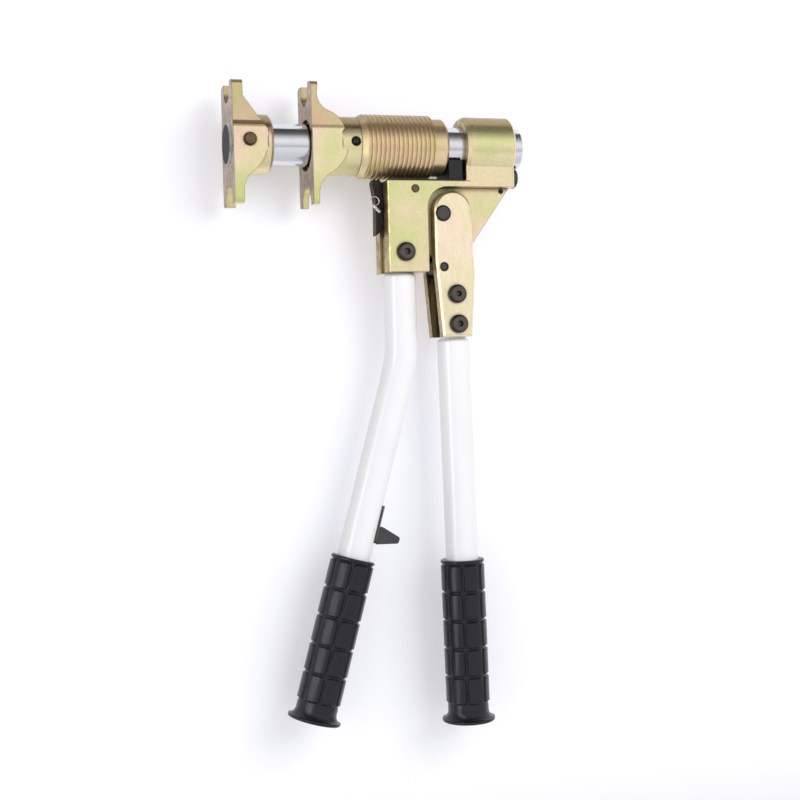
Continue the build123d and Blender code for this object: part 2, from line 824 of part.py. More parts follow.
# Fixed handle tube: swaged top in the body, one bend below it
with BuildPart() as fixed_handle_tube:
    with BuildSketch(Plane.XY.offset(swage_shoulder_z)):
        with Locations((fixed_tube_x, 0)):
            Circle(tube_radius)
    sweep(path=fixed_path())
    with BuildSketch(Plane.XY.offset(swage_shoulder_z)):
        with Locations((fixed_tube_x, 0)):
            Circle(tube_radius - tube_wall)
    sweep(path=fixed_path(), mode=Mode.SUBTRACT)
    with BuildSketch(Plane.XZ):
        with BuildLine():
            Polyline(
                (fixed_tube_x + swage_radius - tube_wall, fixed_tube_top),
                (fixed_tube_x + swage_radius, fixed_tube_top),
                (fixed_tube_x + swage_radius, body_bottom),
                (fixed_tube_x + tube_radius, swage_shoulder_z),
                (fixed_tube_x + tube_radius - tube_wall, swage_shoulder_z),
                (fixed_tube_x + swage_radius - tube_wall, body_bottom),
                close=True,
            )
        make_face()
    revolve(axis=Axis((fixed_tube_x, 0, 0), (0, 0, 1)))
    with BuildSketch(side(0)):
        with Locations((fixed_tube_x, fixed_screw_z)):
            Circle(screw_radius + seat_gap)
    extrude(amount=tube_radius, both=True, mode=Mode.SUBTRACT)
save(fixed_handle_tube, "fixed_handle_tube")

# Moving handle tube: swaged top between the cheeks, straight run
with BuildPart() as moving_handle_tube:
    foot_plane = handle_plane(*moving_foot, moving_tilt)
    foot_axis = Axis(foot_plane.origin, foot_plane.z_dir)
    with BuildSketch(Plane(foot_plane.origin, x_dir=foot_plane.x_dir, z_dir=(0, 1, 0))):
        with BuildLine():
            Polyline(
                (swage_radius - tube_wall, -moving_insert),
                (swage_radius, -moving_insert),
                (swage_radius, 0),
                (tube_radius, swage_length),
                (tube_radius, moving_run),
                (tube_radius - tube_wall, moving_run),
                (tube_radius - tube_wall, swage_length),
                (swage_radius - tube_wall, 0),
                close=True,
            )
        make_face()
    revolve(axis=foot_axis)
    with BuildSketch(side(0)):
        with Locations(*lever_screw_places):
            Circle(screw_radius + seat_gap)
    extrude(amount=tube_radius, both=True, mode=Mode.SUBTRACT)
save(moving_handle_tube, "moving_handle_tube")


def grip(plane):
    """Rubber grip down from the plane: rim, rows of raised pads, band and flared flange."""
    pad_length = grip_row_pitch - grip_groove
    pad_width = 2 * grip_pad_radius * sin(radians(180 / grip_columns)) - grip_groove
    band_start = grip_rim + grip_rows * grip_row_pitch
    with BuildPart() as pads:
        for row in range(grip_rows):
            pad_z = grip_rim + grip_row_pitch * (row + 0.5)
            for column in range(grip_columns):
                turn = radians(360 / grip_columns * (column + 0.5) - 90 + grip_phase)
                pad_plane = Plane((0, 0, 0), x_dir=(-sin(turn), cos(turn), 0), z_dir=(cos(turn), sin(turn), 0))
                with BuildSketch(pad_plane) as pad:
                    with Locations((0, pad_z)):
                        RectangleRounded(pad_width, pad_length, grip_pad_corner)
                extrude(pad.sketch, amount=grip_flange_radius)
        with BuildSketch(Plane.XY) as skin:
            Circle(grip_pad_radius)
        extrude(skin.sketch, amount=band_start, mode=Mode.INTERSECT)
    with BuildPart() as handle_grip:
        with BuildSketch(Plane.XZ):
            with BuildLine():
                Polyline(
                    (0, 0),
                    (grip_pad_radius - grip_rim_bevel, 0),
                    (grip_pad_radius, grip_rim_bevel),
                    (grip_pad_radius, grip_rim - grip_rim_slope),
                    (grip_base_radius, grip_rim + grip_rim_slope),
                    (grip_base_radius, band_start),
                    (grip_pad_radius, band_start + grip_band_slope),
                    (grip_pad_radius, grip_length - grip_flange),
                    (grip_flange_radius, grip_length - grip_flange_edge),
                    (grip_flange_radius, grip_length - grip_lip_bevel),
                    (grip_flange_radius - grip_lip_bevel, grip_length),
                    (0, grip_length),
                    close=True,
                )
            make_face()
        revolve(axis=Axis.Z)
        add(pads.part)
        with BuildSketch(Plane.XY):
            Circle(tube_radius)
        extrude(amount=grip_length - grip_floor, mode=Mode.SUBTRACT)
    return plane * handle_grip.part


with BuildPart() as fixed_handle_grip:
    add(grip(handle_plane(fixed_tube_x, fixed_corner_z, fixed_tilt).offset(fixed_grip_start)))
save(fixed_handle_grip, "fixed_handle_grip")

with BuildPart() as moving_handle_grip:
    add(grip(handle_plane(*moving_foot, moving_tilt).offset(moving_grip_start)))
save(moving_handle_grip, "moving_handle_grip")

# Saddle of the handle stop: a curved plate on the fixed handle's inner side
with BuildPart() as stop_saddle:
    stop_plane = handle_plane(fixed_tube_x, fixed_corner_z, fixed_tilt).offset(stop_start)
    with BuildSketch(stop_plane):
        Circle(tube_radius + saddle_thickness)
        Circle(tube_radius, mode=Mode.SUBTRACT)
        with BuildLine():
            wedge = CenterArc((0, 0), 2 * tube_radius, -saddle_spread / 2, saddle_spread)
            Polyline(wedge @ 1, (0, 0), wedge @ 0)
        make_face(mode=Mode.INTERSECT)
    extrude(amount=stop_length)
save(stop_saddle, "stop_saddle")

# Bumper of the handle stop: points to the moving handle
with BuildPart() as stop_bumper:
    with BuildSketch(side(0)):
        with BuildLine():
            edge = FilletPolyline(*bumper_top, *bumper_tip, bumper_heel, bumper_root, radius=bumper_corner)
            Line(edge @ 1, edge @ 0)
        make_face()
    extrude(amount=bumper_half, both=True)
    with BuildSketch(stop_plane):
        Circle(tube_radius + saddle_thickness)
    extrude(amount=2 * stop_length, mode=Mode.SUBTRACT)
save(stop_bumper, "stop_bumper")
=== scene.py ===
import json
from math import cos, pi, radians, sin

import bmesh
import bpy
from mathutils import Matrix, Vector

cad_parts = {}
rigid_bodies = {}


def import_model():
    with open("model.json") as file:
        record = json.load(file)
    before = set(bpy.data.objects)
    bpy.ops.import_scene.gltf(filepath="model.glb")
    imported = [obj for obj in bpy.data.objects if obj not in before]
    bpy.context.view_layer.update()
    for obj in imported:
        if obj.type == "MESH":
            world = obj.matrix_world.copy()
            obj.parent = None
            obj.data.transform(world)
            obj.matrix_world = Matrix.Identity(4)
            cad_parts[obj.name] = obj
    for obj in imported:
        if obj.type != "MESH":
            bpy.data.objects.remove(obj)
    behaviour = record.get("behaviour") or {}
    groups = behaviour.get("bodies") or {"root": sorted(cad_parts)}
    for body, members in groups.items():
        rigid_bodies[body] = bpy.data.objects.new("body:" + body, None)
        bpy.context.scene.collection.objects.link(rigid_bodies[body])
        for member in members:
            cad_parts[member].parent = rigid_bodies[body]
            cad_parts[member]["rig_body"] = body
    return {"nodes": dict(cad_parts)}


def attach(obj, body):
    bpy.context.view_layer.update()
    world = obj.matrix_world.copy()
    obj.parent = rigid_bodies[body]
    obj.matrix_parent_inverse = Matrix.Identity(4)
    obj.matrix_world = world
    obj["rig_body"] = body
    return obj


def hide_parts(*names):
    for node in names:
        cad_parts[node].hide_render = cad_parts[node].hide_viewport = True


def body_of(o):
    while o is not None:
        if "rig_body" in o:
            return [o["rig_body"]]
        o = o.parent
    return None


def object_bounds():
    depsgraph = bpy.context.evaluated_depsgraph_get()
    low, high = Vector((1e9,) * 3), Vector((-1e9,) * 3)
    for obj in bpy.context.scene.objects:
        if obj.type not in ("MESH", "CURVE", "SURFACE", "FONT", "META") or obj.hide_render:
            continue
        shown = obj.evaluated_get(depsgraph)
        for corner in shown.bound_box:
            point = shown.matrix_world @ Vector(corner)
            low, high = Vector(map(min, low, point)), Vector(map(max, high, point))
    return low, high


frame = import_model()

cad_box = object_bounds()
nodes = frame["nodes"]
scene = bpy.context.scene
MM = 0.001

# Camera at the photograph's viewing angle
view_azimuth = radians(-17.4918)
view_elevation = radians(1.2471)
view_roll = radians(-1.5159)
view_distance = 1165.108 * MM
view_target = Vector((129.276, 0.0, -192.442)) * MM
view_lens = 68.583

toward_camera = Vector((
    sin(view_azimuth) * cos(view_elevation),
    -cos(view_azimuth) * cos(view_elevation),
    sin(view_elevation),
))
level = (-toward_camera).cross(Vector((0, 0, 1))).normalized()
upright = level.cross(-toward_camera)
right = cos(view_roll) * level + sin(view_roll) * upright
up = -sin(view_roll) * level + cos(view_roll) * upright
camera_turn = Matrix((right, up, toward_camera)).transposed().to_4x4()

camera = bpy.data.objects.new("camera", bpy.data.cameras.new("camera"))
scene.collection.objects.link(camera)
camera.data.sensor_width = 36.0
camera.data.lens = view_lens
camera.data.clip_start = 0.05
camera.data.clip_end = 20.0
camera.matrix_world = Matrix.Translation(view_target + toward_camera * view_distance) @ camera_turn
scene.camera = camera


# Material helpers; a wave texture with a scale of one repeats after wave_repeat metres
wave_repeat = 0.314


class Nodes:
    """A node tree, with short calls that add nodes to it."""

    def __init__(self, tree):
        self.tree = tree

    def feed(self, socket, value):
        """Links another node to the socket, or sets its number, vector or colour."""
        if isinstance(value, bpy.types.NodeSocket):
            self.tree.links.new(value, socket)
        elif socket.type == "RGBA":
            socket.default_value = (*value, 1)
        else:
            socket.default_value = value

    def node(self, kind, *values, **named):
        """A new node, with its inputs fed in order or by name."""
        made = self.tree.nodes.new("ShaderNode" + kind)
        for socket, value in zip(made.inputs, values):
            self.feed(socket, value)
        for name, value in named.items():
            self.feed(made.inputs[name.replace("_", " ")], value)
        return made

    def math(self, operation, first, second):
        made = self.node("Math", first, second)
        made.operation = operation
        return made.outputs[0]

    def span(self, value, low, high):
        """Nought at the low value and one at the high value."""
        return self.node("MapRange", Value=value, From_Min=low, From_Max=high).outputs["Result"]

    def ramp(self, value, *stops):
        """Greys or colours at rising places from nought to one."""
        made = self.node("ValToRGB", value)
        elements = made.color_ramp.elements
        for position, _ in stops[1:-1]:
            elements.new(position)
        for element, (position, colour) in zip(elements, stops):
            element.position = position
            element.color = (*colour, 1) if isinstance(colour, tuple) else (colour, colour, colour, 1)
        return made.outputs["Color"]

    def surface(self, output, shader):
        self.feed(self.tree.nodes[output].inputs["Surface"], shader.outputs[0])


class Finish(Nodes):
    """A node-based material, built in the object's own coordinates."""

    def __init__(self, name):
        self.material = bpy.data.materials.new(name)
        self.material.use_nodes = True
        super().__init__(self.material.node_tree)
        self.shader = self.tree.nodes["Principled BSDF"]
        coordinates = self.node("TexCoord")
        self.place = coordinates.outputs["Object"]
        self.normal = coordinates.outputs["Normal"]

    def mapped(self, scale=(1, 1, 1), offset=(0, 0, 0), turn=(0, 0, 0)):
        made = self.node("Mapping", Vector=self.place, Location=offset, Rotation=turn, Scale=scale)
        return made.outputs["Vector"]

    def noise(self, scale, detail=3.0, rough=0.5, place=None):
        made = self.node("TexNoise", Vector=place or self.place, Scale=scale, Detail=detail, Roughness=rough)
        return made.outputs["Fac"]

    def rings(self, centre, spacing):
        """Lathe rings round a pin that runs along Y through the centre (x, z)."""
        place = self.mapped(offset=(-centre[0], 0, -centre[1]))
        made = self.node("TexWave", Vector=place, Scale=wave_repeat / spacing, Distortion=0.0)
        made.wave_type = "RINGS"
        made.rings_direction = "Y"
        return made.outputs["Fac"]

    def bands(self, scale, distortion, place):
        made = self.node("TexWave", Vector=place, Scale=scale, Distortion=distortion, Detail=2.0)
        return made.outputs["Fac"]

    def mix(self, amount, first, second):
        made = self.node("Mix")
        made.data_type = "RGBA"
        for socket, value in ((made.inputs[0], amount), (made.inputs[6], first), (made.inputs[7], second)):
            self.feed(socket, value)
        return made.outputs[2]

    def faded(self, mask, amount):
        return self.math("MULTIPLY", mask, amount)

    def facing(self, direction, low, high):
        """One where the surface faces the direction, nought where it faces away."""
        made = self.node("VectorMath", self.normal, direction)
        made.operation = "DOT_PRODUCT"
        return self.ramp(made.outputs["Value"], (low, 0.0), (high, 1.0))

    def outside(self, centre, radius, blur=0.4 * MM):
        """One beyond the radius from an axis that runs along Y through the centre (x, z), nought within."""
        made = self.node("VectorMath", self.mapped(scale=(1, 0, 1)), (centre[0], 0, centre[1]))
        made.operation = "DISTANCE"
        return self.span(made.outputs["Value"], radius - blur, radius + blur)

    def height(self, low, high):
        """Nought at the low Z and one at the high Z."""
        return self.span(self.node("SeparateXYZ", self.place).outputs["Z"], low, high)

    def edges(self, radius, low, high):
        """One on the edges and corners, nought on the open faces."""
        bevel = self.node("Bevel", Radius=radius)
        bevel.samples = 6
        made = self.node("VectorMath", bevel.outputs["Normal"], self.node("NewGeometry").outputs["Normal"])
        made.operation = "DOT_PRODUCT"
        return self.ramp(self.math("SUBTRACT", 1.0, made.outputs["Value"]), (low, 0.0), (high, 1.0))

    def crevice(self, distance, low=0.35, high=0.85):
        """One in corners and under neighbours, nought on open surfaces."""
        made = self.node("AmbientOcclusion", Distance=distance)
        made.samples = 8
        return self.ramp(made.outputs["AO"], (low, 1.0), (high, 0.0))

    def relief(self, height, distance, strength=1.0, under=None):
        made = self.node("Bump", Height=height, Distance=distance, Strength=strength)
        if under is not None:
            self.feed(made.inputs["Normal"], under)
        return made.outputs["Normal"]

    def done(self, colour, rough, normal, **constants):
        self.feed(self.shader.inputs["Base Color"], colour)
        self.feed(self.shader.inputs["Roughness"], rough)
        self.feed(self.shader.inputs["Normal"], normal)
        for name, value in constants.items():
            self.shader.inputs[name.replace("_", " ")].default_value = value
        return self.material


# Materials: colours are linear, places on a ramp run from nought to one, lengths are in metres
yoke_reach = 45.5 * MM
green_streak = (0.60, 0.58, 0.24)
dark_speck = (0.40, 0.29, 0.14)
upper_brown = (0.46, 0.31, 0.15)
lower_green = (0.56, 0.60, 0.17)
fold_shade_brown = (0.20, 0.13, 0.06)
inner_shade_olive = (0.13, 0.105, 0.045)
top_shade_brown = (0.28, 0.18, 0.075)
edge_shade_brown = (0.10, 0.062, 0.028)
edge_highlight_gold = (1.0, 0.88, 0.62)
crevice_shade_black = (0.024, 0.016, 0.009)
# Painted shade tones for faces that turn to -X, mottled between a darker and a lighter tone
rose_side_shade = ((0.20, 0.15, 0.09), (0.50, 0.34, 0.31))
tan_side_shade = ((0.24, 0.17, 0.08), (0.62, 0.48, 0.24))
gold_clouds = ((0.70, 0.72, 0.33), (0.80, 0.71, 0.41), (0.87, 0.72, 0.47), (0.90, 0.65, 0.50))
peach_clouds = ((0.90, 0.83, 0.50), (0.96, 0.83, 0.58), (0.99, 0.82, 0.62), (0.99, 0.76, 0.60))
bronze_clouds = ((0.70, 0.58, 0.30), (0.76, 0.60, 0.33), (0.82, 0.63, 0.37), (0.84, 0.58, 0.38))


def zinc(
    name, clouds, left=rose_side_shade, left_shade=0.9, grain=0.00001, shade_reach=0.006, edge_shade=0.75, edge_highlight=0.0,
    yoke=False, inner=False,
):
    """Yellow-passivated zinc on forged steel, with clouds from green through cream to rose."""
    f = Finish(name)
    colour = f.ramp(f.noise(24.0, 3.0, 0.5), *zip((0.32, 0.46, 0.56, 0.70), clouds))
    streaks = f.noise(150.0, 4.0, 0.6, f.mapped(scale=(1.0, 0.6, 0.35)))
    colour = f.mix(f.ramp(streaks, (0.42, 0.0), (0.74, 0.30)), colour, green_streak)
    colour = f.mix(f.ramp(f.noise(900.0, 2.0, 0.7), (0.58, 0.0), (0.76, 0.35)), colour, dark_speck)
    if yoke:
        height = f.height(-yoke_reach, yoke_reach)
        colour = f.mix(f.ramp(height, (0.625, 0.0), (0.645, 0.50)), colour, upper_brown)
        # Painted shade: a dark brown band across the yoke's shoulder, where the fold is shaded
        fold_shade = f.ramp(height, (0.608, 0.0), (0.622, 0.75), (0.634, 0.75), (0.648, 0.0))
        colour = f.mix(fold_shade, colour, fold_shade_brown)
        colour = f.mix(f.ramp(height, (0.10, 0.45), (0.30, 0.0)), colour, lower_green)
    # Painted shade: faces that turn to -X take darker rose or tan tones
    side_shade_mottle = f.mix(f.ramp(f.noise(120.0, 4.0, 0.65), (0.38, 0.0), (0.62, 1.0)), *left)
    colour = f.mix(f.faded(f.facing((-1, 0, 0), 0.35, 0.90), left_shade), colour, side_shade_mottle)
    # Painted shade: on the rear cheek, faces that turn to -Y are dark olive, as shaded by the front cheek
    if inner:
        colour = f.mix(f.facing((0, -1, 0), 0.6, 0.95), colour, inner_shade_olive)
    # Painted shade: upward-facing faces browner and darker, as under a dark overhead
    colour = f.mix(f.faded(f.facing((0, 0, 1), 0.15, 0.80), 0.8), colour, top_shade_brown)
    # Painted shade: a dark brown outline along edges and corners
    colour = f.mix(f.faded(f.edges(0.0012, 0.02, 0.16), edge_shade), colour, edge_shade_brown)
    # Painted highlight: a bright gold line on the sharpest edges
    colour = f.mix(f.faded(f.edges(0.0005, 0.04, 0.30), edge_highlight), colour, edge_highlight_gold)
    # Painted shade: near black in corners, creases and under neighbouring parts
    colour = f.mix(f.faded(f.crevice(shade_reach), 0.92), colour, crevice_shade_black)
    rough = f.ramp(f.noise(260.0, 3.0), (0.3, 0.26), (0.7, 0.38))
    skin = f.relief(f.noise(420.0, 2.0, 0.5), grain)
    skin = f.relief(f.noise(90.0, 2.0, 0.5), grain * 2.5, under=skin)
    return f.done(colour, rough, skin, Metallic=0.86, IOR=1.6)


def chrome():
    """Hard-chromed ground rod: fine marks round it, a dull rim, and turned end faces painted near black as
    painted shade.
    """
    f = Finish("chrome")
    marks = f.noise(420.0, 3.0, 0.6, f.mapped(scale=(9.0, 0.25, 0.25)))
    end = f.math("MAXIMUM", f.facing((-1, 0, 0), 0.90, 0.98), f.facing((1, 0, 0), 0.90, 0.98))
    colour = f.mix(f.ramp(marks, (0.3, 0.0), (0.8, 0.25)), (0.72, 0.73, 0.75), (0.52, 0.53, 0.56))
    # Painted shade: the end faces are near black, in place of a dark reflection
    face = f.mix(f.noise(500.0, 2.0), (0.012, 0.012, 0.016), (0.036, 0.036, 0.042))
    colour = f.mix(f.facing((-1, 0, 0), 0.45, 0.60), colour, (0.30, 0.31, 0.28))
    colour = f.mix(end, colour, face)
    rough = f.mix(end, f.ramp(marks, (0.3, 0.13), (0.8, 0.24)), (0.55, 0.55, 0.55))
    return f.done(colour, rough, f.relief(marks, 0.000004), Metallic=1.0)


def powder():
    """White powder coat with a faint orange peel and a few scuffs."""
    f = Finish("white_powder")
    colour = f.mix(f.noise(30.0, 2.0), (0.84, 0.84, 0.86), (0.89, 0.885, 0.88))
    scuffs = f.ramp(f.noise(240.0, 5.0, 0.7), (0.66, 0.0), (0.80, 0.30))
    colour = f.mix(scuffs, colour, (0.70, 0.69, 0.68))
    skin = f.relief(f.noise(700.0, 2.0, 0.4), 0.00005)
    rough = f.ramp(f.noise(120.0), (0.3, 0.30), (0.7, 0.42))
    return f.done(colour, rough, skin, Coat_Weight=0.2, Coat_Roughness=0.2)


def rubber(name, tilt):
    """Moulded black rubber with a fine diagonal grain down the handle."""
    f = Finish(name)
    grain = f.bands(300.0, 2.5, f.mapped(turn=(0, radians(45 + tilt), 0)))
    colour = f.mix(f.noise(60.0, 3.0), (0.004, 0.0045, 0.006), (0.013, 0.014, 0.017))
    colour = f.mix(f.faded(grain, 0.5), colour, (0.020, 0.021, 0.025))
    # Painted shade: near black in the grooves and crevices
    colour = f.mix(f.crevice(0.003, 0.45, 0.9), colour, (0.001, 0.001, 0.0015))
    skin = f.relief(grain, 0.00012, 0.6)
    skin = f.relief(f.noise(2200.0, 2.0, 0.6), 0.00004, under=skin)
    rough = f.ramp(f.noise(140.0), (0.3, 0.17), (0.7, 0.27))
    return f.done(colour, rough, skin, Specular_IOR_Level=0.30)


def black_oxide():
    """Blackened screws: dark domes, faces toward -Y painted lighter and browner as painted light, and
    painted shade in the black sockets.
    """
    f = Finish("black_oxide")
    colour = f.mix(f.noise(500.0, 3.0), (0.010, 0.009, 0.009), (0.030, 0.026, 0.022))
    lit_flat = f.mix(f.noise(700.0, 3.0), (0.055, 0.046, 0.038), (0.125, 0.105, 0.085))
    # Painted light: faces that turn to -Y are lighter and browner
    colour = f.mix(f.facing((0, -1, 0), 0.80, 0.99), colour, lit_flat)
    # Painted shade: near black in sockets and corners
    colour = f.mix(f.crevice(0.0022, 0.5, 0.85), colour, (0.002, 0.002, 0.003))
    skin = f.relief(f.noise(1500.0, 2.0), 0.00003)
    rough = f.ramp(f.noise(700.0), (0.3, 0.34), (0.7, 0.5))
    return f.done(colour, rough, skin, Metallic=0.5)


def turned_end(name, centre, radius, tones, spacing=0.9):
    """Turned end of a pin that runs along Y: lathe rings, a painted shadow ring round the rim and painted
    shade on the sides. Millimetres.
    """
    rim = (0.010, 0.008, 0.007)
    dark, light = tones
    axis = [place * MM for place in centre]
    f = Finish(name)
    turned = f.rings(axis, spacing * MM)
    colour = f.mix(turned, dark, light)
    colour = f.mix(f.ramp(f.noise(900.0), (0.42, 0.0), (0.72, 0.6)), colour, dark)
    # Painted shadow: a near-black ring beyond the end's radius
    colour = f.mix(f.outside(axis, radius * MM), colour, rim)
    # Painted shade: faces that don't turn to -Y take the near-black rim colour
    colour = f.mix(f.facing((0, -1, 0), 0.30, 0.80), rim, colour)
    return f.done(colour, 0.40, f.relief(turned, 0.00008), Metallic=0.75)


def spring_steel():
    """Bright drawn wire."""
    f = Finish("spring_steel")
    drawn = f.noise(900.0, 2.0, 0.5, f.mapped(scale=(1, 4, 1)))
    colour = f.mix(drawn, (0.62, 0.61, 0.60), (0.86, 0.85, 0.83))
    return f.done(colour, f.ramp(drawn, (0.3, 0.14), (0.7, 0.3)), f.relief(drawn, 0.000008), Metallic=1.0)


def hardened(name, dark, light):
    """Hardened pawl steel, dark with lighter rubbed edges."""
    f = Finish(name)
    rubbed = tuple(2.4 * channel for channel in light)
    colour = f.mix(f.noise(160.0, 4.0, 0.6), dark, light)
    colour = f.mix(f.faded(f.edges(0.0007, 0.04, 0.3), 0.6), colour, rubbed)
    skin = f.relief(f.noise(800.0, 3.0), 0.00004)
    return f.done(colour, f.ramp(f.noise(300.0), (0.3, 0.36), (0.7, 0.5)), skin, Metallic=0.75)


def grey_plate():
    """Dark sheet steel with bright cut edges."""
    f = Finish("grey_plate")
    colour = f.mix(f.noise(220.0, 4.0), (0.030, 0.030, 0.033), (0.10, 0.10, 0.105))
    colour = f.mix(f.edges(0.0005, 0.05, 0.3), colour, (0.30, 0.30, 0.31))
    return f.done(colour, 0.34, f.relief(f.noise(900.0), 0.00003), Metallic=0.6)


def soft_black(name, dark, light):
    """Matt black rubber with a fine sandy skin."""
    f = Finish(name)
    colour = f.mix(f.noise(260.0, 4.0, 0.6), dark, light)
    skin = f.relief(f.noise(1400.0, 3.0, 0.7), 0.00008)
    return f.done(colour, f.ramp(f.noise(400.0), (0.3, 0.47), (0.7, 0.63)), skin)


# Pieces
def paint(thing, material):
    mesh = thing.data
    mesh.materials.clear()
    mesh.materials.append(material)
    for face in mesh.polygons:
        face.material_index = 0


def softened(node, width, material):
    """A copy of a CAD node with its sharp edges rounded, which stands for the node."""
    source = nodes[node]
    mesh = source.data.copy()
    mesh.name = node + "_soft"
    shape = bmesh.new()
    shape.from_mesh(mesh)
    bmesh.ops.remove_doubles(shape, verts=shape.verts, dist=2e-6)
    bmesh.ops.dissolve_limit(
        shape, angle_limit=radians(0.4), verts=shape.verts, edges=shape.edges, delimit={"NORMAL"}
    )
    for face in shape.faces:
        face.smooth = True
    shape.to_mesh(mesh)
    shape.free()
    piece = bpy.data.objects.new(node + "_soft", mesh)
    scene.collection.objects.link(piece)
    edge = piece.modifiers.new("edges", "BEVEL")
    edge.width = width * MM
    edge.segments = 3
    edge.limit_method = "ANGLE"
    edge.angle_limit = radians(20.0)
    piece.modifiers.new("shading", "WEIGHTED_NORMAL").keep_sharp = True
    paint(piece, material)
    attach(piece, body_of(source)[0])
    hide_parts(node)


def lofted(name, rings, material, capped=False):
    """A closed skin through rings of points in millimetres; a ring of one point closes an end."""
    skin = bmesh.new()
    loops = [[skin.verts.new(point * MM) for point in ring] for ring in rings]
    for near, far in zip(loops, loops[1:]):
        count = max(len(near), len(far))
        for i in range(count):
            j = (i + 1) % count
            corners = [near[i % len(near)], near[j % len(near)], far[j % len(far)], far[i % len(far)]]
            skin.faces.new(list(dict.fromkeys(corners))).smooth = True
    if capped:
        skin.faces.new(loops[0])
        skin.faces.new(loops[-1])
    bmesh.ops.recalc_face_normals(skin, faces=skin.faces)
    mesh = bpy.data.meshes.new(name)
    skin.to_mesh(mesh)
    skin.free()
    mesh.materials.append(material)
    piece = bpy.data.objects.new(name, mesh)
    scene.collection.objects.link(piece)
    return piece


# Grips, as part.py sizes them: millimetres along and across the handle
grip_bore = 12.55
grip_length = 125.8
grip_floor = 3.0
grip_base = 15.5
grip_band = 15.8
grip_pad = 16.85
grip_rim = 3.0
grip_rows = 5
grip_columns = 7
grip_pitch = 21.7
grip_groove = 1.9
pad_corner = 2.4
pad_round = 0.85
mouth_round = 0.7
rim_round = 0.9
flange_radius = 20.4
flare_length = 8.6
flare_steps = 8
lip_depth = 2.6
lip_round = 1.3
foot_hollow = 0.8


def cell_stations(pitch):
    """Stations across one pad and half a groove on each side, close together at the pad's edges."""
    foot = grip_groove / 2 - 0.25
    half = [0.0] + [foot + step for step in (0.0, 0.25, 0.5, 0.8, 1.15, 1.9, 3.2)]
    half += [pitch * 0.34, pitch * 0.5]
    return half + [pitch - x for x in reversed(half[1:-1])]


def pad_lift(across, along, width, length):
    """Nought in the grooves and one on a pad, with round corners and round edges."""
    dx = max(abs(across) - (width / 2 - pad_corner), 0.0)
    dz = max(abs(along) - (length / 2 - pad_corner), 0.0)
    share = min(1.0, max(0.0, (pad_corner + 0.2 - (dx * dx + dz * dz) ** 0.5) / pad_round))
    return sin(share * pi / 2)


def grip_outline():
    """Radius and place of each ring, from the bore's floor over the rim and pads to the flange's foot.
    A ring among the pads has no radius of its own."""
    arc = (0.5, 1.0, pi / 2)
    closed_at = grip_length - grip_floor
    pads_end = grip_rim + grip_rows * grip_pitch
    rings = [(0.0, closed_at), (grip_bore, closed_at), (grip_bore, mouth_round)]
    rings += [(grip_bore + mouth_round * (1 - cos(a)), mouth_round * (1 - sin(a))) for a in arc]
    rings += [(grip_pad - rim_round * (1 - sin(a)), rim_round * (1 - cos(a))) for a in (0.0, *arc)]
    rings += [(grip_pad, grip_rim - 1.1), (grip_pad - 0.15, grip_rim - 0.6)]
    rings.append((grip_base + 0.2, grip_rim - 0.1))
    for row in range(grip_rows):
        rings += [(None, grip_rim + row * grip_pitch + z) for z in cell_stations(grip_pitch) if row or z]
    rings += [(grip_base, pads_end), (grip_base + 0.15, pads_end + 0.8), (grip_band, pads_end + 3.0)]
    for step in range(flare_steps + 1):
        turn = pi / 2 * step / flare_steps
        radius = grip_band + (flange_radius - grip_band) * (1 - cos(turn))
        rings.append((radius, grip_length - flare_length + (flare_length - lip_depth) * sin(turn)))
    for turn in (0.0, 0.5, 1.0, 1.5):
        rings.append((
            flange_radius - lip_round * (1 - cos(turn)),
            grip_length - lip_round * (1 - sin(turn)),
        ))
    rings.append((flange_radius - 3.5, grip_length - 0.1))
    rings.append((flange_radius - 4.5, grip_length - foot_hollow))
    rings.append((0.0, grip_length - foot_hollow))
    return rings


def moulded_grip(name, node, foot, tilt, start, phase):
    """Rubber grip round the handle that leaves the foot (x, z) at a tilt; the phase turns its pads."""
    column_arc = 2 * pi / grip_columns
    width = grip_pad * column_arc
    lean = radians(tilt)
    across_axis = Vector((cos(lean), 0, sin(lean)))
    down_axis = Vector((sin(lean), 0, -cos(lean)))
    front_axis = down_axis.cross(across_axis)
    origin = Vector((foot[0], 0, foot[1])) + down_axis * start
    rings = []
    for radius, z in grip_outline():
        centre = origin + down_axis * z
        if radius == 0.0:
            rings.append([centre])
            continue
        along = (z - grip_rim) % grip_pitch - grip_pitch / 2
        ring = []
        for column in range(grip_columns):
            for x in cell_stations(width):
                reach = radius
                if radius is None:
                    lift = pad_lift(x - width / 2, along, width - grip_groove, grip_pitch - grip_groove)
                    reach = grip_base + (grip_pad - grip_base) * lift
                turn = (column + x / width) * column_arc + radians(phase)
                spoke = across_axis * cos(turn) + front_axis * sin(turn)
                ring.append(centre + spoke * reach)
        rings.append(ring)
    piece = lofted(name, rings, rubber(name + "_rubber", tilt))
    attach(piece, body_of(nodes[node])[0])
    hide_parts(node)


moulded_grip("grip_fixed", "fixed_handle_grip", (131.5, -160.7), -15.85, 156.1, 102.4)
moulded_grip("grip_moving", "moving_handle_grip", (173.5, -145.9), 0.98, 171.2, 110.25)

# Release spring: an open hook of two turns beside the pawl's neck, then a close coil toward the body
wire_radius = 0.34
wire_sides = 10
hook_centre = Vector((111.6, -5.9, -41.5))
hook_radius = 3.3
hook_pitch = 0.75
hook_turns = 2
hook_steps = 30
coil_radius = 1.15
coil_pitch = 0.78
coil_length = 7.0
coil_steps = 12
coil_lean = radians(45.0)
coil_along = hook_radius * 0.5
coil_aside = hook_radius * 0.9

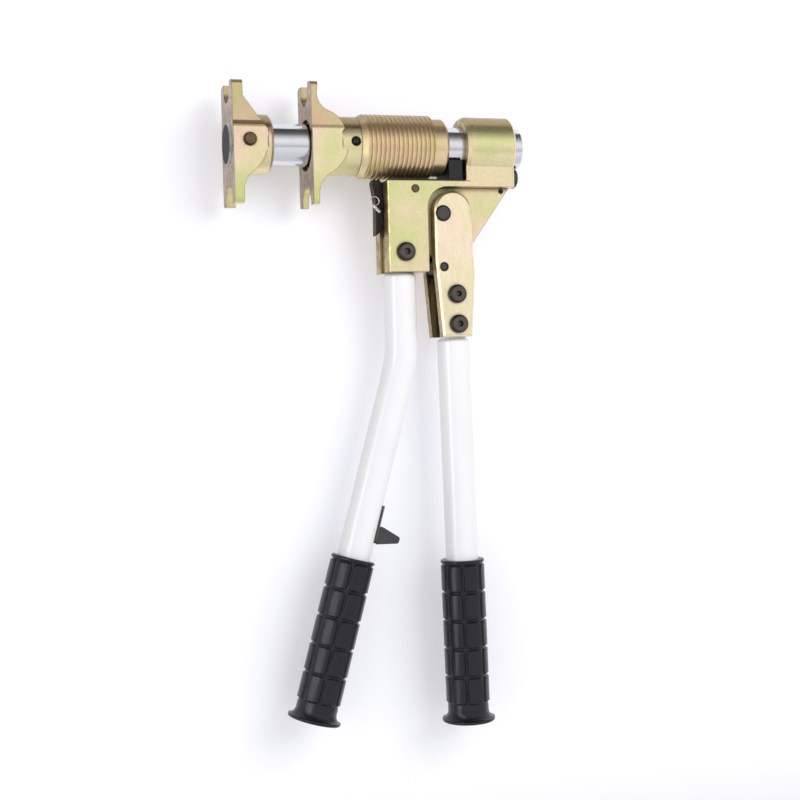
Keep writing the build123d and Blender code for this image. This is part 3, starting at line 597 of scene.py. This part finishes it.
path = []
for step in range(hook_turns * hook_steps + 1):
    turn = 2 * pi * step / hook_steps - coil_lean - pi / 2
    rise = hook_pitch * (step / hook_steps - hook_turns / 2)
    path.append(hook_centre + Vector((hook_radius * cos(turn), rise, hook_radius * sin(turn))))
coil_axis = Vector((cos(coil_lean), 0, -sin(coil_lean)))
coil_side = Vector((sin(coil_lean), 0, cos(coil_lean)))
coil_start = hook_centre + coil_axis * coil_along - coil_side * coil_aside
for step in range(int(coil_length / coil_pitch * coil_steps)):
    turn = 2 * pi * step / coil_steps
    centre = coil_start + coil_axis * (coil_pitch * step / coil_steps)
    sideways = Vector((0, coil_radius * sin(turn), 0))
    path.append(centre + coil_side * (coil_radius * cos(turn)) + sideways)

wire_rings = []
across = Vector((0, 1, 0))
for before, point, after in zip([path[0]] + path, path, path[1:] + [path[-1]]):
    along = (after - before).normalized()
    across = (across - along * across.dot(along)).normalized()
    aside = along.cross(across)
    ring = []
    for side in range(wire_sides):
        turn = 2 * pi * side / wire_sides
        ring.append(point + (across * cos(turn) + aside * sin(turn)) * wire_radius)
    wire_rings.append(ring)
spring = lofted("release_spring_wire", wire_rings, spring_steel(), capped=True)
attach(spring, "hold_pawl")
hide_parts("release_spring")

# Finishes
gold = zinc("zinc_forged", gold_clouds, left=tan_side_shade)
gold_yoke = zinc("zinc_yoke", gold_clouds, yoke=True, edge_shade=0.85)
gold_plate = zinc("zinc_plate", peach_clouds, left=tan_side_shade, grain=0.000006)
gold_inner = zinc("zinc_inner_plate", peach_clouds, left=tan_side_shade, grain=0.000006, inner=True)
gold_sleeve = zinc(
    "zinc_turned", bronze_clouds, left_shade=0.2, grain=0.00003, shade_reach=0.0017, edge_shade=0.0, edge_highlight=0.95
)
white = powder()
screws = black_oxide()
pawl_steel = hardened("pawl_steel", (0.035, 0.032, 0.030), (0.10, 0.09, 0.08))
tab_steel = hardened("tab_steel", (0.010, 0.008, 0.007), (0.045, 0.036, 0.028))
ball_steel = hardened("ball_steel", (0.015, 0.013, 0.012), (0.05, 0.045, 0.04))
bumper_black = soft_black("bumper", (0.020, 0.019, 0.018), (0.060, 0.057, 0.055))
# Painted shade: a near-black block that fills the shaded gap under the rod, between sleeve and housing
shade_block_black = soft_black("buffer", (0.004, 0.004, 0.004), (0.012, 0.011, 0.010))
brass = ((0.075, 0.045, 0.024), (0.30, 0.20, 0.11))
dull_steel = ((0.055, 0.052, 0.048), (0.115, 0.108, 0.100))

# Pieces with rounded edges: material, slot, and the rounding's width in millimetres
for node, material, slot, width in (
    ("fixed_yoke", gold_yoke, "zinc", 1.1),
    ("moving_yoke", gold_yoke, "zinc", 1.1),
    ("press_body", gold, "zinc", 0.6),
    ("lever_cheek_front", gold_plate, "zinc", 0.5),
    ("lever_cheek_rear", gold_inner, "zinc", 0.5),
    ("drive_pawl", pawl_steel, "black_oxide", 0.4),
    ("hold_pawl", tab_steel, "black_oxide", 0.6),
    ("stop_bumper", bumper_black, "bumper_rubber", 2.2),
):
    softened(node, width, material)

# Nodes that keep their own shape
for node, material in {
    "ratchet_sleeve": gold_sleeve,
    "guide_rod": chrome(),
    "fixed_handle_tube": white,
    "moving_handle_tube": white,
    "lever_screws": screws,
    "fixed_handle_screw": screws,
    "rod_lock_screw": screws,
    "housing_roll_pin": screws,
    "lever_stop_pin": turned_end("stop_pin", (161.7, -92.1), 2.3, dull_steel),
    "crank_pin": turned_end("crank_head", (161.8, -51.6), 4.9, dull_steel, spacing=1.6),
    "fixed_yoke_pin": turned_end("yoke_pin", (13.8, 1.2), 3.9, brass),
    "hold_pawl_pin": turned_end("hold_pin", (140.2, -33.1), 2.5, brass, spacing=0.8),
    "lever_stop_bush": turned_end("stop_bush", (161.7, -92.1), 8.0, brass),
    "stop_saddle": grey_plate(),
    # Painted shade: the near-black block under the rod
    "sleeve_buffer": shade_block_black,
    "detent_ball": ball_steel,
}.items():
    piece = nodes[node]
    paint(piece, material)
    piece.data.shade_smooth()
    piece.data.set_sharp_from_angle(angle=radians(32.0))

# Backdrop close behind the tool, as the sheet it lies on, and curved into a floor below
wall_y = cad_box[1].y + 0.012
floor_z = cad_box[0].z - 0.11
curve_radius = 0.10
curve_steps = 12
sheet_reach = 2.5
profile = [Vector((0, wall_y - sheet_reach, floor_z)), Vector((0, wall_y - curve_radius, floor_z))]
for step in range(1, curve_steps + 1):
    turn = pi / 2 * step / curve_steps
    profile.append(Vector((
        0,
        wall_y - curve_radius * (1 - sin(turn)),
        floor_z + curve_radius * (1 - cos(turn)),
    )))
profile.append(Vector((0, wall_y, floor_z + sheet_reach)))
sheet = bmesh.new()
rows = [[sheet.verts.new(p + Vector((x, 0, 0))) for x in (-sheet_reach, sheet_reach)] for p in profile]
for near, far in zip(rows, rows[1:]):
    sheet.faces.new((near[0], near[1], far[1], far[0])).smooth = True
floor_mesh = bpy.data.meshes.new("floor")
sheet.to_mesh(floor_mesh)
sheet.free()
floor = bpy.data.objects.new("floor", floor_mesh)
scene.collection.objects.link(floor)

paper = Finish("floor_paper")
paper.shader.inputs["Base Color"].default_value = (0.74, 0.74, 0.80, 1)
paper.shader.inputs["Roughness"].default_value = 0.9
rays = paper.node("LightPath").outputs
glow = paper.node("Emission", Strength=0.28)
glowing = paper.node("AddShader", paper.shader.outputs[0], glow.outputs[0])
seen = paper.math("MAXIMUM", rays["Is Camera Ray"], rays["Is Glossy Ray"])
front = paper.node("MixShader", seen, paper.shader.outputs[0], glowing.outputs[0])

# The sheet has one side: from behind, the camera looks through it at the tool, and soft light comes through
clear = paper.node("BsdfTransparent")
through = paper.math("MAXIMUM", paper.node("NewGeometry").outputs["Backfacing"], rays["Is Diffuse Ray"])
paper.surface("Material Output", paper.node("MixShader", through, front.outputs[0], clear.outputs[0]))
floor_mesh.materials.append(paper.material)

# World: grey by elevation in degrees, bright round the horizon, darker overhead, white for the camera
world_greys = (
    (-50, 1.05), (-36, 0.88), (-20, 0.52), (-10, 0.70), (2, 0.98),
    (16, 1.10), (28, 0.96), (40, 0.58), (54, 0.20), (70, 0.06),
)
world = bpy.data.worlds.new("studio")
scene.world = world
world.use_nodes = True
sky = Nodes(world.node_tree)
direction = sky.node("SeparateXYZ", sky.node("TexCoord").outputs["Generated"])
shades = [((1 + sin(radians(elevation))) / 2, (grey, grey, grey * 1.02)) for elevation, grey in world_greys]
light = world.node_tree.nodes["Background"]
light.inputs["Strength"].default_value = 1.0
sky.feed(light.inputs["Color"], sky.ramp(
    sky.span(direction.outputs["Z"], -1.0, 1.0),
    (0.0, (0.75, 0.75, 0.77)),
    *shades,
    (1.0, (0.05, 0.05, 0.055)),
))
white_back = sky.node("Background", Color=(1, 1, 1), Strength=1.0)
camera_ray = sky.node("LightPath").outputs["Is Camera Ray"]
sky.surface("World Output", sky.node("MixShader", camera_ray, light.outputs[0], white_back.outputs[0]))

# Lamps: a key and a fill that metal doesn't mirror, and a strip that gives the handles their glint
lamps_aim = Vector((0.13, 0.0, -0.15))


def softbox(name, place, width, height, power):
    lamp = bpy.data.lights.new(name, "AREA")
    lamp.shape = "RECTANGLE"
    lamp.size = width
    lamp.size_y = height
    lamp.energy = power
    thing = bpy.data.objects.new(name, lamp)
    scene.collection.objects.link(thing)
    thing.location = Vector(place)
    thing.rotation_euler = (Vector(place) - lamps_aim).to_track_quat("Z", "Y").to_euler()
    return thing


softbox("key", (0.75, -1.35, 0.45), 1.0, 0.9, 10.0).visible_glossy = False
softbox("fill", (-1.1, -1.2, -0.1), 1.0, 1.4, 3.0).visible_glossy = False
softbox("strip", (-1.00, -0.62, -0.30), 0.07, 1.0, 7.0).visible_diffuse = False

scene.view_settings.view_transform = "Standard"
